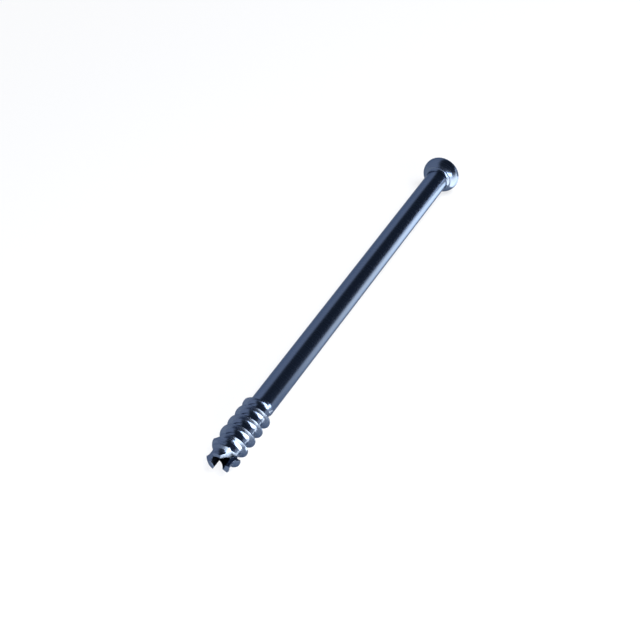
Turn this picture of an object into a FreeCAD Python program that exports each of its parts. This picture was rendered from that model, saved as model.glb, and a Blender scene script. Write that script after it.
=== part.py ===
import FreeCAD, Part
import math
import os
import Sketcher

# Cannulated cancellous bone screw, 6.5 mm thread, 100 mm long, turned from one bar.
#
# The body is built along its own X axis: the flat top of the head is at x = 0 and the tip faces +X.
# A turned outline is a sketch in the XY plane, where x runs along the screw and y is the radius.
# The thread's crest and the first cutting face both start from the shoulder's +Y side.

SIZES = {
    "overall_length": 100.0,
    "thread_length": 16.0,
    "thread_diameter": 6.5,
    "thread_pitch": 2.75,
    "core_diameter": 4.4,
    "shaft_diameter": 4.8,
    "bore_diameter": 2.9,
    "head_diameter": 8.0,
    "head_edge_radius": 1.4,
    "rim_height": 0.2,
    "seat_radius": 2.2,
    "neck_radius": 0.63,
    "socket_flats": 4.0,
    "socket_depth": 3.0,
    "socket_lead_in": 0.25,
    "drill_point_angle": 118.0,
    "shoulder_length": 0.5,
    "crest_width": 0.2,
    "leading_flank_angle": 25.0,
    "trailing_flank_angle": 5.0,
    "root_radius": 0.8,
    "root_sink": 0.03,
    "foot_depth": 0.3,
    "start_cone_foot": 0.6,
    "start_cone_angle": 62.0,
    "tip_cone_length": 1.5,
    "tip_cone_angle": 30.0,
    "flute_count": 3,
    "flute_run": 5.2,
    "flute_angle": 27.0,
    "clear_margin": 1.0,
}

doc = FreeCAD.newDocument("cannulated_bone_screw")
sheet = doc.addObject("Spreadsheet::Sheet", "sizes")
for row, (alias, number) in enumerate(SIZES.items(), start=1):
    sheet.set(f"A{row}", alias)
    sheet.set(f"B{row}", str(number))
    sheet.setAlias(f"B{row}", alias)
doc.recompute()

body = doc.addObject("PartDesign::Body", "bone_screw")
body.Label = "bone_screw"

# Places along the screw and radii that several features share, as formulas on the sheet
FULL_TURN = 360.0
AXIS = "0"
HEAD_TOP = "0"
TIP = "sizes.overall_length"
PAST_TIP = "(sizes.overall_length + 3 * sizes.clear_margin)"
SHOULDER = "(sizes.overall_length - sizes.thread_length)"
CREST_R = "sizes.thread_diameter / 2"
CORE_R = "sizes.core_diameter / 2"
SHAFT_R = "sizes.shaft_diameter / 2"
HEAD_R = "sizes.head_diameter / 2"
MARGIN = "sizes.clear_margin"
OUTSIDE_R = f"({CREST_R} + {MARGIN})"
INSIDE_R = f"({CORE_R} - {MARGIN})"


def value(formula):
    """The number that a formula gives, in millimetres or degrees."""
    return float(body.evalExpression(formula))


def tangent(alias):
    """A formula for the tangent of an angle on the sheet."""
    return f"tan(sizes.{alias} * 1 deg)"


def origin_feature(role):
    """The body's own origin plane or axis with this role, such as XY_Plane."""
    return next(item for item in body.Origin.OriginFeatures if item.Role == role)


def new_sketch(name, plane):
    sketch = body.newObject("Sketcher::SketchObject", name)
    sketch.AttachmentSupport = [(origin_feature(plane), "")]
    sketch.MapMode = "FlatFace"
    return sketch


def drive(sketch, kind, name, formula, *places):
    """Add one dimension to a sketch, name it and bind it to the sheet."""
    sketch.addConstraint(Sketcher.Constraint(kind, *places, value(formula)))
    sketch.renameConstraint(sketch.ConstraintCount - 1, name)
    sketch.setExpression(f"Constraints.{name}", formula)


def point(x, radius):
    return FreeCAD.Vector(value(x), value(radius), 0)


def line(sketch, start, end):
    return sketch.addGeometry(Part.LineSegment(point(*start), point(*end)), False)


def arc(sketch, centre, radius, start, end):
    """The arc that runs anticlockwise from start to end."""
    middle = point(*centre)
    angles = [math.atan2(spot.y - middle.y, spot.x - middle.x) for spot in (point(*start), point(*end))]
    circle = Part.Circle(middle, FreeCAD.Vector(0, 0, 1), value(radius))
    return sketch.addGeometry(Part.ArcOfCircle(circle, *angles), False)


def join(sketch, first, first_end, second, second_end, kind="Coincident"):
    sketch.addConstraint(Sketcher.Constraint(kind, first, first_end, second, second_end))


def polygon(name, corners):
    """A closed outline in the XY plane. Each corner is a formula for x and one for the radius."""
    sketch = new_sketch(name, "XY_Plane")
    count = len(corners)
    for i in range(count):
        line(sketch, corners[i], corners[(i + 1) % count])
    for i in range(count):
        join(sketch, i, 2, (i + 1) % count, 1)
    for i, (x, radius) in enumerate(corners):
        drive(sketch, "DistanceX", f"x{i}", x, -1, 1, i, 1)
        drive(sketch, "DistanceY", f"y{i}", radius, -1, 1, i, 1)
    return sketch


def feature(kind, name, profile, adds=False, **settings):
    """One PartDesign step on a sketch. The volume has to change the way that the step should."""
    before = body.Tip.Shape.Volume if body.Tip else 0.0
    step = body.newObject(kind, name)
    step.Profile = profile
    for key, setting in settings.items():
        if isinstance(setting, str) and "sizes." in setting:
            step.setExpression(key, setting)
        else:
            setattr(step, key, setting)
    body.Tip = step
    doc.recompute()
    after = step.Shape.Volume
    if (after > before) != adds or math.isclose(after, before):
        raise RuntimeError(f"{name} left {after:.2f} mm3 of {before:.2f} mm3")
    print(f"{name}: {after:.2f} mm3")
    return step


def turned_cut(name, corners):
    """A groove all round the axis, with a polygon as its section."""
    sketch = polygon(f"{name}_profile", corners)
    return feature("PartDesign::Groove", name, sketch, ReferenceAxis=(sketch, ["H_Axis"]), Angle=FULL_TURN)


# Thread ridge
# A thin blade: a narrow flat crest, a sloped flank that leads towards the tip, a steep one that
# bears towards the head, and a wide root radius on each. The roots dip a little below the core's
# surface, so that they meet it in a clean edge, and the foot is sunk in the core.
foot_r = f"({CORE_R} - sizes.foot_depth)"
root_low_r = f"({CORE_R} - sizes.root_sink)"
root_centre_r = f"({root_low_r} + sizes.root_radius)"
half_crest = "sizes.crest_width / 2"
ridge = new_sketch("ridge_profile", "XY_Plane")


def flank(side, alias):
    """Lines and arc from the crest's end down to the foot, on one side of the ridge's middle."""
    angle = f"sizes.{alias} * 1 deg"
    tangent_r = f"({root_centre_r} - sizes.root_radius * sin({angle}))"
    run = f"({CREST_R} - {tangent_r}) * tan({angle})"
    crest_x = f"({SHOULDER} {side} {half_crest})"
    tangent_x = f"({crest_x} {side} {run})"
    centre_x = f"({tangent_x} {side} sizes.root_radius * cos({angle}))"
    return {
        "crest": (crest_x, CREST_R),
        "tangent": (tangent_x, tangent_r),
        "centre": (centre_x, root_centre_r),
        "low": (centre_x, root_low_r),
        "foot": (centre_x, foot_r),
    }


leading = flank("+", "leading_flank_angle")
trailing = flank("-", "trailing_flank_angle")
crest_line = line(ridge, trailing["crest"], leading["crest"])
leading_line = line(ridge, leading["crest"], leading["tangent"])
leading_root = arc(ridge, leading["centre"], "sizes.root_radius", leading["tangent"], leading["low"])
leading_wall = line(ridge, leading["low"], leading["foot"])
foot_line = line(ridge, leading["foot"], trailing["foot"])
trailing_wall = line(ridge, trailing["foot"], trailing["low"])
trailing_root = arc(ridge, trailing["centre"], "sizes.root_radius", trailing["low"], trailing["tangent"])
trailing_line = line(ridge, trailing["tangent"], trailing["crest"])
join(ridge, crest_line, 2, leading_line, 1)
join(ridge, leading_line, 2, leading_root, 1, "Tangent")
join(ridge, leading_root, 2, leading_wall, 1)
join(ridge, leading_wall, 2, foot_line, 1)
join(ridge, foot_line, 2, trailing_wall, 1)
join(ridge, trailing_wall, 2, trailing_root, 1)
join(ridge, trailing_root, 2, trailing_line, 1, "Tangent")
join(ridge, trailing_line, 2, crest_line, 1)
for level in (crest_line, foot_line):
    ridge.addConstraint(Sketcher.Constraint("Horizontal", level))
for upright in (leading_wall, trailing_wall):
    ridge.addConstraint(Sketcher.Constraint("Vertical", upright))
for root, root_end, name in ((leading_root, 2, "leading"), (trailing_root, 1, "trailing")):
    ridge.addConstraint(Sketcher.Constraint("Vertical", root, root_end, root, 3))
    drive(ridge, "Radius", f"{name}_root", "sizes.root_radius", root)
    drive(ridge, "DistanceY", f"{name}_root_low", root_low_r, -1, 1, root, root_end)
drive(ridge, "DistanceX", "crest_start", trailing["crest"][0], -1, 1, crest_line, 1)
drive(ridge, "DistanceX", "crest_width", "sizes.crest_width", crest_line, 1, crest_line, 2)
drive(ridge, "DistanceY", "crest_radius", CREST_R, -1, 1, crest_line, 1)
drive(ridge, "DistanceY", "foot_radius", foot_r, -1, 1, foot_line, 1)
drive(ridge, "DistanceX", "leading_root_at", leading["low"][0], -1, 1, leading_root, 2)
drive(ridge, "DistanceX", "trailing_root_at", trailing["low"][0], -1, 1, trailing_root, 1)
feature(
    "PartDesign::AdditiveHelix",
    "thread_ridge",
    ridge,
    adds=True,
    ReferenceAxis=(ridge, ["H_Axis"]),
    Mode="pitch-height-angle",
    LeftHanded=False,
    Pitch="sizes.thread_pitch",
    Height=f"sizes.thread_length + {MARGIN}",
)

# Thread start
# A steep cone on the head side of the thread, so the first turn rises out of the core within
# a third of a turn. It also clears the helix that lies before the cone.
cone_foot = f"({SHOULDER} + sizes.start_cone_foot)"
before_thread = f"{SHOULDER} - sizes.thread_pitch - {MARGIN}"
turned_cut(
    "thread_start",
    [
        (before_thread, INSIDE_R),
        (f"{cone_foot} - ({CORE_R} - {INSIDE_R}) / {tangent('start_cone_angle')}", INSIDE_R),
        (f"{cone_foot} + ({OUTSIDE_R} - {CORE_R}) / {tangent('start_cone_angle')}", OUTSIDE_R),
        (before_thread, OUTSIDE_R),
    ],
)

# Thread end
# The crest tapers off on a cone over the last half turn, so that the screw starts in a drilled hole.
taper_start = f"({TIP} - sizes.tip_cone_length)"
turned_cut(
    "thread_end",
    [
        (f"{taper_start} - {MARGIN} / {tangent('tip_cone_angle')}", OUTSIDE_R),
        (f"{taper_start} + ({CREST_R} - {INSIDE_R}) / {tangent('tip_cone_angle')}", INSIDE_R),
        (PAST_TIP, INSIDE_R),
        (PAST_TIP, OUTSIDE_R),
    ],
)

# Turned bar
# A head with a flat top and a rounded top edge, a narrow rim, a rounded seat under it, a small neck
# fillet, the plain shaft, the shoulder and the core that carries the thread.
bar = new_sketch("bar_profile", "XY_Plane")
core_end = f"{TIP} + {MARGIN}"
rim_end = "(sizes.head_edge_radius + sizes.rim_height)"
neck_r = f"({SHAFT_R} + sizes.neck_radius)"
seat_centre_r = f"({HEAD_R} - sizes.seat_radius)"
seat_end = f"({rim_end} + sqrt(sizes.seat_radius ^ 2 - ({neck_r} - {seat_centre_r}) ^ 2))"
shaft_start = f"{seat_end} + sizes.neck_radius"
shoulder_end = f"{SHOULDER} + sizes.shoulder_length"


face_r = f"{HEAD_R} - sizes.head_edge_radius"
face = line(bar, (HEAD_TOP, AXIS), (HEAD_TOP, face_r))
edge = arc(
    bar,
    ("sizes.head_edge_radius", face_r),
    "sizes.head_edge_radius",
    ("sizes.head_edge_radius", HEAD_R),
    (HEAD_TOP, face_r),
)
rim = line(bar, ("sizes.head_edge_radius", HEAD_R), (rim_end, HEAD_R))
seat = arc(bar, (rim_end, seat_centre_r), "sizes.seat_radius", (seat_end, neck_r), (rim_end, HEAD_R))
neck = arc(bar, (shaft_start, neck_r), "sizes.neck_radius", (seat_end, neck_r), (shaft_start, SHAFT_R))
shaft = line(bar, (shaft_start, SHAFT_R), (SHOULDER, SHAFT_R))
shoulder = line(bar, (SHOULDER, SHAFT_R), (shoulder_end, CORE_R))
core = line(bar, (shoulder_end, CORE_R), (core_end, CORE_R))
end = line(bar, (core_end, CORE_R), (core_end, AXIS))
axis = line(bar, (core_end, AXIS), (HEAD_TOP, AXIS))
join(bar, face, 2, edge, 2, "Tangent")
join(bar, edge, 1, rim, 1, "Tangent")
join(bar, rim, 2, seat, 2, "Tangent")
join(bar, seat, 1, neck, 1)
join(bar, neck, 2, shaft, 1, "Tangent")
join(bar, shaft, 2, shoulder, 1)
join(bar, shoulder, 2, core, 1)
join(bar, core, 2, end, 1)
join(bar, end, 2, axis, 1)
join(bar, axis, 2, face, 1)
join(bar, face, 1, -1, 1)
join(bar, neck, 1, neck, 3, "Horizontal")
for upright in (face, end):
    bar.addConstraint(Sketcher.Constraint("Vertical", upright))
for level in (rim, shaft, core, axis):
    bar.addConstraint(Sketcher.Constraint("Horizontal", level))
drive(bar, "Radius", "edge_radius", "sizes.head_edge_radius", edge)
drive(bar, "DistanceY", "head_radius", HEAD_R, -1, 1, rim, 1)
drive(bar, "DistanceX", "rim_height", "sizes.rim_height", rim, 1, rim, 2)
drive(bar, "Radius", "seat_radius", "sizes.seat_radius", seat)
drive(bar, "Radius", "neck_radius", "sizes.neck_radius", neck)
drive(bar, "DistanceY", "shaft_radius", SHAFT_R, -1, 1, shaft, 2)
drive(bar, "DistanceX", "shoulder_at", SHOULDER, -1, 1, shaft, 2)
drive(bar, "DistanceX", "shoulder_length", "sizes.shoulder_length", shoulder, 1, shoulder, 2)
drive(bar, "DistanceY", "core_radius", CORE_R, -1, 1, core, 2)
drive(bar, "DistanceX", "core_end", core_end, -1, 1, core, 2)
feature(
    "PartDesign::Revolution",
    "turned_bar",
    bar,
    adds=True,
    ReferenceAxis=(bar, ["H_Axis"]),
    Angle=FULL_TURN,
)

# Faced tip
# The bar and the thread's foot are cut off square at the overall length.
turned_cut("faced_tip", [(TIP, AXIS), (PAST_TIP, AXIS), (PAST_TIP, OUTSIDE_R), (TIP, OUTSIDE_R)])

# Cannulation
# The through hole for the guide wire, drilled along the whole screw.
bore_sketch = new_sketch("bore_circle", "YZ_Plane")
bore_radius = value("sizes.bore_diameter / 2")
bore_edge = bore_sketch.addGeometry(
    Part.Circle(FreeCAD.Vector(0, 0, 0), FreeCAD.Vector(0, 0, 1), bore_radius), False
)
bore_sketch.addConstraint(Sketcher.Constraint("Coincident", bore_edge, 3, -1, 1))
drive(bore_sketch, "Diameter", "bore_diameter", "sizes.bore_diameter", bore_edge)
feature("PartDesign::Pocket", "cannulation", bore_sketch, Type="ThroughAll", Midplane=True)

# Hex socket
# The driver recess, broached into the head, with a turned lead-in at its mouth and the point of the
# drill that went before the broach at its floor.
HEX_SIDES = 6
corner_r = "sizes.socket_flats / sqrt(3)"
socket_sketch = new_sketch("socket_hexagon", "YZ_Plane")
corners = []
for i in range(HEX_SIDES):
    angle = 2 * math.pi * i / HEX_SIDES
    corners.append(FreeCAD.Vector(math.cos(angle), math.sin(angle), 0) * value(corner_r))
for i in range(HEX_SIDES):
    socket_sketch.addGeometry(Part.LineSegment(corners[i], corners[(i + 1) % HEX_SIDES]), False)
guide = socket_sketch.addGeometry(
    Part.Circle(FreeCAD.Vector(0, 0, 0), FreeCAD.Vector(0, 0, 1), value(corner_r)), True
)
for i in range(HEX_SIDES):
    socket_sketch.addConstraint(Sketcher.Constraint("Coincident", i, 2, (i + 1) % HEX_SIDES, 1))
    socket_sketch.addConstraint(Sketcher.Constraint("PointOnObject", i, 1, guide))
for i in range(1, HEX_SIDES):
    socket_sketch.addConstraint(Sketcher.Constraint("Equal", 0, i))
socket_sketch.addConstraint(Sketcher.Constraint("Coincident", guide, 3, -1, 1))
socket_sketch.addConstraint(Sketcher.Constraint("PointOnObject", 0, 1, -1))
drive(socket_sketch, "Radius", "corner_radius", corner_r, guide)
feature("PartDesign::Pocket", "hex_socket", socket_sketch, Reversed=True, Length="sizes.socket_depth")
mouth_r = f"{corner_r} + sizes.socket_lead_in"
turned_cut("socket_lead_in", [(HEAD_TOP, AXIS), (mouth_r, AXIS), (HEAD_TOP, mouth_r)])
drill_r = "sizes.socket_flats / 2"
drill_point = f"sizes.socket_depth + {drill_r} / tan(sizes.drill_point_angle / 2 * 1 deg)"
socket_floor = "sizes.socket_depth"
turned_cut("socket_floor", [(socket_floor, AXIS), (drill_point, AXIS), (socket_floor, drill_r)])

# Cutting flutes
# Each flute is one milled step: a cutting face on a plane through the axis, and a floor that
# slopes in towards the tip until it opens into the cannulation, which leaves three cutting teeth.
flute_start = f"({TIP} - sizes.flute_run)"
flute_sketch = polygon(
    "flute_profile",
    [
        (f"{flute_start} - {MARGIN} / {tangent('flute_angle')}", OUTSIDE_R),
        (f"{TIP} + {MARGIN}", f"{CREST_R} - (sizes.flute_run + {MARGIN}) * {tangent('flute_angle')}"),
        (f"{TIP} + {MARGIN}", OUTSIDE_R),
    ],
)
flute = feature("PartDesign::Pocket", "flute", flute_sketch, Reversed=True, Length=OUTSIDE_R)
flutes = body.newObject("PartDesign::PolarPattern", "flutes")
flutes.Originals = [flute]
flutes.Axis = (flute_sketch, ["H_Axis"])
flutes.Angle = FULL_TURN
flutes.setExpression("Occurrences", "sizes.flute_count")
body.Tip = flutes
doc.recompute()
if flutes.Shape.Volume >= flute.Shape.Volume:
    raise RuntimeError("the flutes were not repeated")

# Rest
# The screw lies on the edge of its rim and on the lowest crest that no flute cuts, so its axis dips
# a little towards the tip. The origin is under the middle of it, on the surface that it lies on.
TURNS_TO_LOWEST_CREST = 3.75
contact_x = f"({SHOULDER} + {TURNS_TO_LOWEST_CREST} * sizes.thread_pitch + sizes.crest_width / 2)"
dip = math.atan(value(f"({HEAD_R} - {CREST_R}) / ({contact_x} - {rim_end})"))
height = value(rim_end) * math.sin(dip) + value(HEAD_R) * math.cos(dip)
turn = FreeCAD.Rotation(FreeCAD.Vector(0, 1, 0), math.degrees(dip))
body.Placement = FreeCAD.Placement(FreeCAD.Vector(0, 0, height), turn)
extent = body.Shape.optimalBoundingBox(False)
middle = (extent.XMin + extent.XMax) / 2
body.Placement = FreeCAD.Placement(FreeCAD.Vector(-middle, 0, height), turn)
doc.recompute()

for item in doc.Objects:
    if "Invalid" in item.State or "Error" in item.State:
        raise RuntimeError(f"{item.Name} failed: {item.State}")
shape = body.Shape
if shape.isNull() or not shape.isValid() or len(shape.Solids) != 1:
    raise RuntimeError("bone_screw is not one valid solid")
os.makedirs("parts", exist_ok=True)
shape.exportStep(f"parts/{body.Label}.step")
print(f"bone_screw: {shape.Volume:.2f} mm3, {len(shape.Faces)} faces, {shape.optimalBoundingBox(False)}")
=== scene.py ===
# %% [markdown]
# # Cannulated bone screw
# A cancellous bone screw lies on a white table. The real one is turned from a bar of titanium alloy,
# so it is one piece of metal, and all of its form is in the CAD solid. What is left for Blender is the
# skin of that metal, the things around it that the metal mirrors, and the camera of the photograph.
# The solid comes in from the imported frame, already in its place and in metres.

# %% Load the frame
import math

import bpy
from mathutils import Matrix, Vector


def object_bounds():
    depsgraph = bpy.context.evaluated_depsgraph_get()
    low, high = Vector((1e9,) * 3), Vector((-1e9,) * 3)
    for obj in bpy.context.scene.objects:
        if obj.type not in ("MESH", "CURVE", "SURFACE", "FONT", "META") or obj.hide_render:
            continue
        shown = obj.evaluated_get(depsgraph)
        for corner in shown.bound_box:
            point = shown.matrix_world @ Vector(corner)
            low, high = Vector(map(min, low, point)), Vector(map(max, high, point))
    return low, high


MM = 0.001

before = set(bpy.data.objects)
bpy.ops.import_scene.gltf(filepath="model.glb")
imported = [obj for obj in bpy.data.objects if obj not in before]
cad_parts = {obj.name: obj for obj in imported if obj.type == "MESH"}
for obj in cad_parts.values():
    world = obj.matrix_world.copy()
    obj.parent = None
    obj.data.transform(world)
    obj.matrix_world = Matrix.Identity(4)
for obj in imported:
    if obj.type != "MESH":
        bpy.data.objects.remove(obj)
cad_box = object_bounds()
scene = bpy.context.scene
cad_size = [(high - low) / MM for low, high in zip(*cad_box)]
print("nodes", sorted(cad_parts), "size in mm", [round(s, 2) for s in cad_size])

# %% [markdown]
# ## Camera
# The photograph shows the screw with its tip towards us. A screw can't stand on its tip, so here it
# lies down and the camera looks down on it: the view of the screw is the same, only the ground is not.
# Near parts look clearly bigger than far ones, which tells how close the camera stood. The numbers come
# from a fit of the screw's own round edges, its straight shaft and its thread crests to the picture.

# %% Camera
CAMERA_AZIMUTH = math.radians(27.002)
CAMERA_ELEVATION = math.radians(40.257)
CAMERA_DISTANCE = 307.3 * MM
CAMERA_AIM = Vector((4.229, -3.043, 0.62)) * MM
CAMERA_LENS = 86.94
CLIP_START = 10 * MM


def direction(azimuth, elevation):
    """The unit vector at an angle from +X towards +Y and an angle above the table."""
    flat = math.cos(elevation)
    return Vector((flat * math.cos(azimuth), flat * math.sin(azimuth), math.sin(elevation)))


camera = bpy.data.objects.new("camera", bpy.data.cameras.new("camera"))
scene.collection.objects.link(camera)
camera.data.lens = CAMERA_LENS
camera.data.clip_start = CLIP_START
towards_camera = direction(CAMERA_AZIMUTH, CAMERA_ELEVATION)
camera.location = CAMERA_AIM + CAMERA_DISTANCE * towards_camera
camera.rotation_euler = (-towards_camera).to_track_quat("-Z", "Y").to_euler()
scene.camera = camera
scene.view_settings.view_transform = "Standard"
print("camera at", [round(v / MM, 1) for v in camera.location], "mm")

# %% [markdown]
# ## Colours and nodes
# Every colour is written as an sRGB hex value, the way a paint chart gives it. The renderer works in
# linear numbers, so one function turns one into the other. A second function adds a node with its
# settings and its links in one call, which keeps a long material readable from top to bottom. A third
# maps a value from one range to another, for the gloss of the metal and for light that fades.

# %% Helpers for colours and nodes
WHITE = "#FFFFFF"


def linear(hex_colour):
    """An sRGB hex colour as linear red, green, blue and alpha, by the curve of the sRGB standard."""
    channels = [int(hex_colour[i : i + 2], 16) / 255 for i in (1, 3, 5)]
    return [c / 12.92 if c <= 0.04045 else ((c + 0.055) / 1.055) ** 2.4 for c in channels] + [1.0]


def add_node(tree, kind, inputs=(), links=(), **settings):
    """Add a node, set its properties and inputs, and link other sockets into it."""
    node = tree.nodes.new(kind)
    for name, setting in settings.items():
        setattr(node, name, setting)
    for key, number in dict(inputs).items():
        node.inputs[key].default_value = number
    for key, source in dict(links).items():
        tree.links.new(source, node.inputs[key])
    return node


def remap(tree, value, from_range, to_range):
    """Map a value from one range to another, and hold it at the ends."""
    low, high = from_range
    start, end = to_range
    return add_node(
        tree,
        "ShaderNodeMapRange",
        inputs={"From Min": low, "From Max": high, "To Min": start, "To Max": end},
        links={"Value": value},
    ).outputs["Result"]


def new_material(name):
    """An empty material and its node tree."""
    material = bpy.data.materials.new(name)
    material.use_nodes = True
    material.node_tree.nodes.clear()
    return material, material.node_tree


print("mid grey #808080 is linear", round(linear("#808080")[0], 3))

# %% [markdown]
# ## Polished, anodised titanium
# The screw is titanium alloy that was turned, polished in a tumbler and then anodised. The bath grows
# a thin clear oxide on the metal, and light that passes it twice comes back blue-grey. Paint could give
# that colour too, but paint has a white sheen over a flat colour, while here the mirror image itself is
# tinted. So the material is a full metal, and the film is simply the colour of its reflection.
# An anodised film is never quite even, so two close tones flow into each other in soft patches.

# %% The oxide film
FILM_TONES = ("#566379", "#5D6B84")
FILM_PATCH = 11 * MM
FILM_DETAIL = 2.0


def oxide_film(tree, place):
    """The film's colour: two close tones in soft patches of about a centimetre."""
    patches = add_node(
        tree,
        "ShaderNodeTexNoise",
        inputs={"Scale": 1 / FILM_PATCH, "Detail": FILM_DETAIL},
        links={"Vector": place},
    )
    film = add_node(
        tree, "ShaderNodeMix", data_type="RGBA", links={"Factor": patches.outputs["Fac"]}
    )
    # A colour mix keeps its two colours in inputs 6 and 7, and its result in output 2
    film.inputs[6].default_value = linear(FILM_TONES[0])
    film.inputs[7].default_value = linear(FILM_TONES[1])
    return film.outputs[2]


print("film tones", FILM_TONES, "in patches of", round(FILM_PATCH / MM), "mm")

# %% [markdown]
# A lathe leaves rings around the axis, one for every step of its tool, and the tumbler doesn't take
# them off completely. The rings are far finer than a pixel, about a fiftieth of a millimetre apart, so
# they are drawn at 0.05 mm to show at all. A noise that is squeezed along the axis and stretched
# around it gives rings that fade in and out. They change the gloss a little and tilt the surface by a
# hair, which breaks the edges of a highlight the way brushed metal does.

# %% The turning marks
RING_STEP = 0.05 * MM
RING_LENGTH = 25 * MM
RING_DETAIL = 3.0


def turning_marks(tree, place):
    """Fine rings around the screw's axis, X, as a grey value."""
    squeezed = add_node(
        tree,
        "ShaderNodeVectorMath",
        operation="MULTIPLY",
        inputs={1: (1 / RING_STEP, 1 / RING_LENGTH, 1 / RING_LENGTH)},
        links={0: place},
    )
    # The place is already counted in rings here, so the noise keeps its own scale of 1
    rings = add_node(
        tree,
        "ShaderNodeTexNoise",
        inputs={"Scale": 1.0, "Detail": RING_DETAIL},
        links={"Vector": squeezed.outputs[0]},
    )
    return rings.outputs["Fac"]


print("one ring every", RING_STEP / MM, "mm,", round(RING_LENGTH / MM), "mm long")

# %% [markdown]
# Tumbling also rounds every sharp edge a little, and a rounded edge is what catches a thin line of
# light along the crest of the thread and around the flutes. Cutting these tiny rounds into the mesh
# would take a great many faces, so the Bevel node bends the shading near each edge instead, within
# 0.06 mm of it. The specular tint is the colour at grazing angles. Pure white there would give the
# screw a pale rim that a film-covered metal doesn't have, so it is a light grey.

# %% Titanium on the screw
EDGE_BREAK = 0.06 * MM
EDGE_SAMPLES = 6
# The rings' grey value lies mostly within its spread, and from there it is mapped to a roughness
RING_SPREAD = (0.3, 0.7)
GLOSS_RANGE = (0.22, 0.28)
RING_DEPTH = 0.002 * MM
RING_RELIEF = 0.15
GRAZING_TINT = "#ACB2BE"


def polished_titanium():
    """Anodised titanium: a tinted metal with fine turning marks and broken edges."""
    material, tree = new_material("polished_anodised_titanium")
    place = add_node(tree, "ShaderNodeTexCoord").outputs["Object"]
    rings = turning_marks(tree, place)
    edges = add_node(
        tree, "ShaderNodeBevel", samples=EDGE_SAMPLES, inputs={"Radius": EDGE_BREAK}
    )
    relief = add_node(
        tree,
        "ShaderNodeBump",
        inputs={"Strength": RING_RELIEF, "Distance": RING_DEPTH},
        links={"Height": rings, "Normal": edges.outputs["Normal"]},
    )
    surface = add_node(
        tree,
        "ShaderNodeBsdfPrincipled",
        inputs={"Metallic": 1.0, "Specular Tint": linear(GRAZING_TINT)},
        links={
            "Base Color": oxide_film(tree, place),
            "Roughness": remap(tree, rings, RING_SPREAD, GLOSS_RANGE),
            "Normal": relief.outputs["Normal"],
        },
    )
    add_node(tree, "ShaderNodeOutputMaterial", links={"Surface": surface.outputs["BSDF"]})
    return material


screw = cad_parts["bone_screw"]
screw.data.materials.clear()
screw.data.materials.append(polished_titanium())
print("screw:", len(screw.data.polygons), "faces,", screw.data.materials[0].name)

# %% [markdown]
# ## The white table
# The photograph's ground is pure white. A table lit until it clips would flood the metal with light, so
# the paper is a plain off-white, and the rays that see it, from the camera or off the metal, are
# mostly given an even white instead. What is left of the paper keeps the soft shadow of the screw.
# Farther out, past the shadow and past the reach of the lamps, the even white takes over completely.

# %% Table
TABLE_SIZE = 3000 * MM
PAPER = "#F4F5F7"
# The even white's share within the shadow's reach, and from the end of the paper's reach on
NEAR_WHITE = 0.7
FAR_WHITE = 1.0
SHADOW_REACH = 100 * MM
PAPER_REACH = 300 * MM


def white_paper():
    """Matt white paper that shows as an even white with a faint shadow."""
    material, tree = new_material("matt_white_paper")
    paper = add_node(tree, "ShaderNodeBsdfDiffuse", inputs={"Color": linear(PAPER)})
    # A strength of 1 shows as the colour itself
    white = add_node(
        tree, "ShaderNodeEmission", inputs={"Color": linear(WHITE), "Strength": 1.0}
    )
    path = add_node(tree, "ShaderNodeLightPath")
    seen = path.outputs["Is Camera Ray"]
    for ray in ("Is Glossy Ray", "Is Transmission Ray"):
        seen = add_node(
            tree, "ShaderNodeMath", operation="MAXIMUM", links={0: seen, 1: path.outputs[ray]}
        ).outputs[0]
    place = add_node(tree, "ShaderNodeTexCoord").outputs["Object"]
    away = add_node(tree, "ShaderNodeVectorMath", operation="LENGTH", links={0: place})
    whiteness = remap(
        tree, away.outputs["Value"], (SHADOW_REACH, PAPER_REACH), (NEAR_WHITE, FAR_WHITE)
    )
    share = add_node(
        tree, "ShaderNodeMath", operation="MULTIPLY", links={0: seen, 1: whiteness}
    )
    mix = add_node(
        tree,
        "ShaderNodeMixShader",
        links={0: share.outputs[0], 1: paper.outputs["BSDF"], 2: white.outputs["Emission"]},
    )
    add_node(tree, "ShaderNodeOutputMaterial", links={"Surface": mix.outputs["Shader"]})
    return material


def sheet(name, corners, height, material):
    """A flat face at a height, from its corners' X and Y in metres. It isn't part of the object."""
    mesh = bpy.data.meshes.new(name)
    mesh.from_pydata([(x, y, height) for x, y in corners], [], [tuple(range(len(corners)))])
    mesh.materials.append(material)
    face = bpy.data.objects.new(name, mesh)
    scene.collection.objects.link(face)
    return face


half = TABLE_SIZE / 2
table = sheet("floor", [(-half, -half), (half, -half), (half, half), (-half, half)], 0, white_paper())
print("table", [round(d, 2) for d in table.dimensions[:2]], "m")

# %% [markdown]
# ## The room
# Polished metal shows its room. Three bands run along the shaft in the photograph: a blue-grey flank,
# a nearly black stripe and a bright stripe. They are a pale wall on one side, a dark ceiling and the
# bright ground on the other side. The shaft lies along X, so a sky whose colour changes only with the
# angle around X gives clean bands along the whole shaft. A colour ramp over that angle makes it. Its
# stops are in degrees, from the horizon on the +Y side over the top to the horizon on the -Y side.

# %% Room
PALE_WALL = "#E6EBF8"
ROOM = [
    (0, WHITE),  # the +Y horizon, and all below the horizon
    (2, WHITE),
    (8, "#414A5A"),  # the dark ceiling
    (104, "#414850"),
    (119, PALE_WALL),
    (180, PALE_WALL),
]


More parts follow.
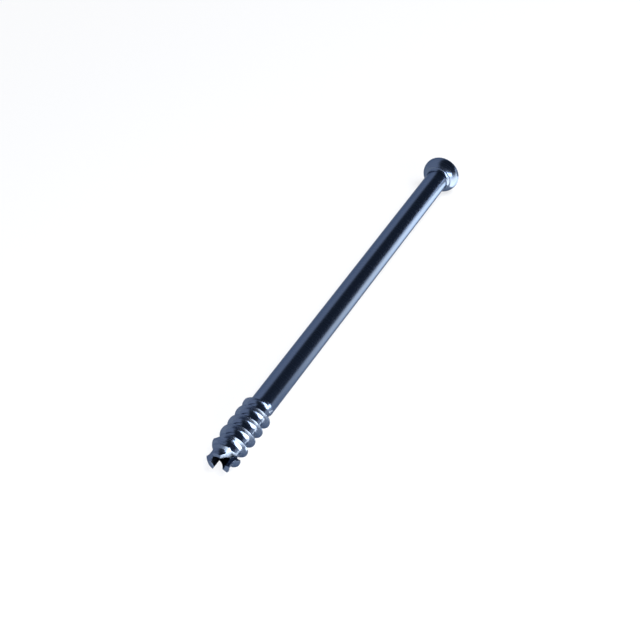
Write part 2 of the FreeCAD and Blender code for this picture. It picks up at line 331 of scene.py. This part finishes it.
def studio_room():
    """A world whose colour depends on the angle around X, in degrees from +Y over the top to -Y."""
    world = bpy.data.worlds.new("studio")
    world.use_nodes = True
    tree = world.node_tree
    tree.nodes.clear()
    place = add_node(tree, "ShaderNodeTexCoord")
    split = add_node(tree, "ShaderNodeSeparateXYZ", links={0: place.outputs["Generated"]})
    angle = add_node(
        tree,
        "ShaderNodeMath",
        operation="ARCTAN2",
        links={0: split.outputs["Z"], 1: split.outputs["Y"]},
    )
    half_turns = add_node(
        tree,
        "ShaderNodeMath",
        operation="DIVIDE",
        inputs={1: math.pi},
        links={0: angle.outputs[0]},
    )
    bands = add_node(tree, "ShaderNodeValToRGB", links={"Fac": half_turns.outputs[0]})
    stops = bands.color_ramp.elements
    while len(stops) < len(ROOM):
        stops.new(1.0)
    for stop, (degrees, colour) in zip(stops, ROOM):
        stop.position = degrees / 180
        stop.color = linear(colour)
    room = add_node(tree, "ShaderNodeBackground", links={"Color": bands.outputs["Color"]})
    add_node(tree, "ShaderNodeOutputWorld", links={"Surface": room.outputs[0]})
    return world


scene.world = studio_room()
print("room bands at", [degrees for degrees, colour in ROOM], "degrees")

# %% [markdown]
# ## Softboxes
# The flanks of the thread face the tip, so they mirror what stands in front of the screw: a long, low
# softbox there turns each turn of the thread into a bright band with a dark root behind it. A narrow
# strip far behind the head lights the first edge of the shaft's bright stripe. A fill from above lights
# the paper and gives the shadow. It is hidden from the metal, whose ceiling has to stay dark.


# %% Softboxes
def softbox(name, azimuth, elevation, distance, width, height, brightness):
    """A soft panel that faces the screw, in mm. A brightness of 1 shows in a mirror as white."""
    light = bpy.data.lights.new(name, "AREA")
    light.shape = "RECTANGLE"
    light.size = width * MM
    light.size_y = height * MM
    light.energy = brightness * math.pi * light.size * light.size_y
    panel = bpy.data.objects.new(name, light)
    towards_panel = direction(math.radians(azimuth), math.radians(elevation))
    panel.location = distance * MM * towards_panel
    panel.rotation_euler = towards_panel.to_track_quat("Z", "Y").to_euler()
    scene.collection.objects.link(panel)
    print(name, round(light.energy, 3), "W")
    return panel


softbox(
    "long_softbox",
    azimuth=50.5,
    elevation=11.5,
    distance=156,
    width=205,
    height=62,
    brightness=13.5,
)
softbox(
    "low_strip",
    azimuth=150,
    elevation=2.7,
    distance=222,
    width=85,
    height=18,
    brightness=4,
)
fill = softbox(
    "overhead_fill",
    azimuth=100,
    elevation=65,
    distance=500,
    width=250,
    height=250,
    brightness=12,
)
fill.visible_glossy = False

# %% [markdown]
# ## Light cards
# The right side of the shaft looks down on the table, and in the photograph it is bright, most of all
# near the head. A photographer lays a reflector card beside the object for that. Here a card is a face
# just above the table that adds light to what the metal sees and hides nothing: emission and
# transparency added together. It is hidden from the camera and from the paper, so the ground stays
# even. Its light is warm, because the blue film takes the warmth out again and leaves a white stripe.
# The stripe is brightest at the head, so the card fades towards the thread.

# %% The side card's fade
CARD_LIGHT = "#FFF1D8"
# Rays that leave the shaft towards the card run along the table at this many mm of X per mm of Y
RAY_SLOPE = 0.94
FADE_ALONG = (-47 * MM, 33 * MM)
FADE_ACROSS = (9 * MM, 40 * MM)
FAR_SHARE = 0.5


def fading_light(tree, brightness):
    """A card's strength: full near the head, none near the thread, and weaker far from the shaft."""
    place = add_node(tree, "ShaderNodeTexCoord").outputs["Object"]
    start = add_node(
        tree,
        "ShaderNodeVectorMath",
        operation="DOT_PRODUCT",
        inputs={1: (1.0, RAY_SLOPE, 0.0)},
        links={0: place},
    )
    along = remap(tree, start.outputs["Value"], FADE_ALONG, (brightness, 0.0))
    split = add_node(tree, "ShaderNodeSeparateXYZ", links={0: place})
    across = remap(tree, split.outputs["Y"], FADE_ACROSS, (1.0, FAR_SHARE))
    return add_node(
        tree, "ShaderNodeMath", operation="MULTIPLY", links={0: along, 1: across}
    ).outputs[0]


print("the bright stripe fades between X", [round(x / MM) for x in FADE_ALONG], "mm")

# %% [markdown]
# The lower half of each turn of the thread looks down on the table in front of it, and so does the wall
# of the flute. A second card lies there. A narrow strip right beside the thread puts the small light
# into each root, where the shaft's own card doesn't reach. Every card is given by the X and Y of its
# corners in mm, and starts just beside the screw.

# %% Light cards on the table
CARD_HEIGHT = 0.2 * MM
SIDE_CARD = [(40, 4.2), (40, 205), (-250, 225), (-74, 32), (-56, 12.5), (-56, 4.2)]
TIP_CARD = [(160, 6), (160, 60), (52, 60), (43, 12), (50, 6)]
THREAD_STRIP = [(33, 6), (50, 6), (50, 7.3), (33, 7.3)]


def light_card(name, corners, brightness, fades=False):
    """A card of light on the table, with corners in mm, that only reflections show."""
    material, tree = new_material(name)
    glow = add_node(
        tree,
        "ShaderNodeEmission",
        inputs={"Color": linear(CARD_LIGHT), "Strength": brightness},
        links={"Strength": fading_light(tree, brightness)} if fades else {},
    )
    clear = add_node(tree, "ShaderNodeBsdfTransparent")
    both = add_node(tree, "ShaderNodeAddShader", links={0: glow.outputs[0], 1: clear.outputs[0]})
    add_node(tree, "ShaderNodeOutputMaterial", links={"Surface": both.outputs[0]})
    card = sheet(name, [(x * MM, y * MM) for x, y in corners], CARD_HEIGHT, material)
    card.visible_camera = False
    card.visible_diffuse = False
    card.visible_shadow = False
    print(name, [round(d / MM) for d in card.dimensions[:2]], "mm")


light_card("side_card", SIDE_CARD, brightness=8.2, fades=True)
light_card("tip_card", TIP_CARD, brightness=16)
light_card("thread_strip", THREAD_STRIP, brightness=14)
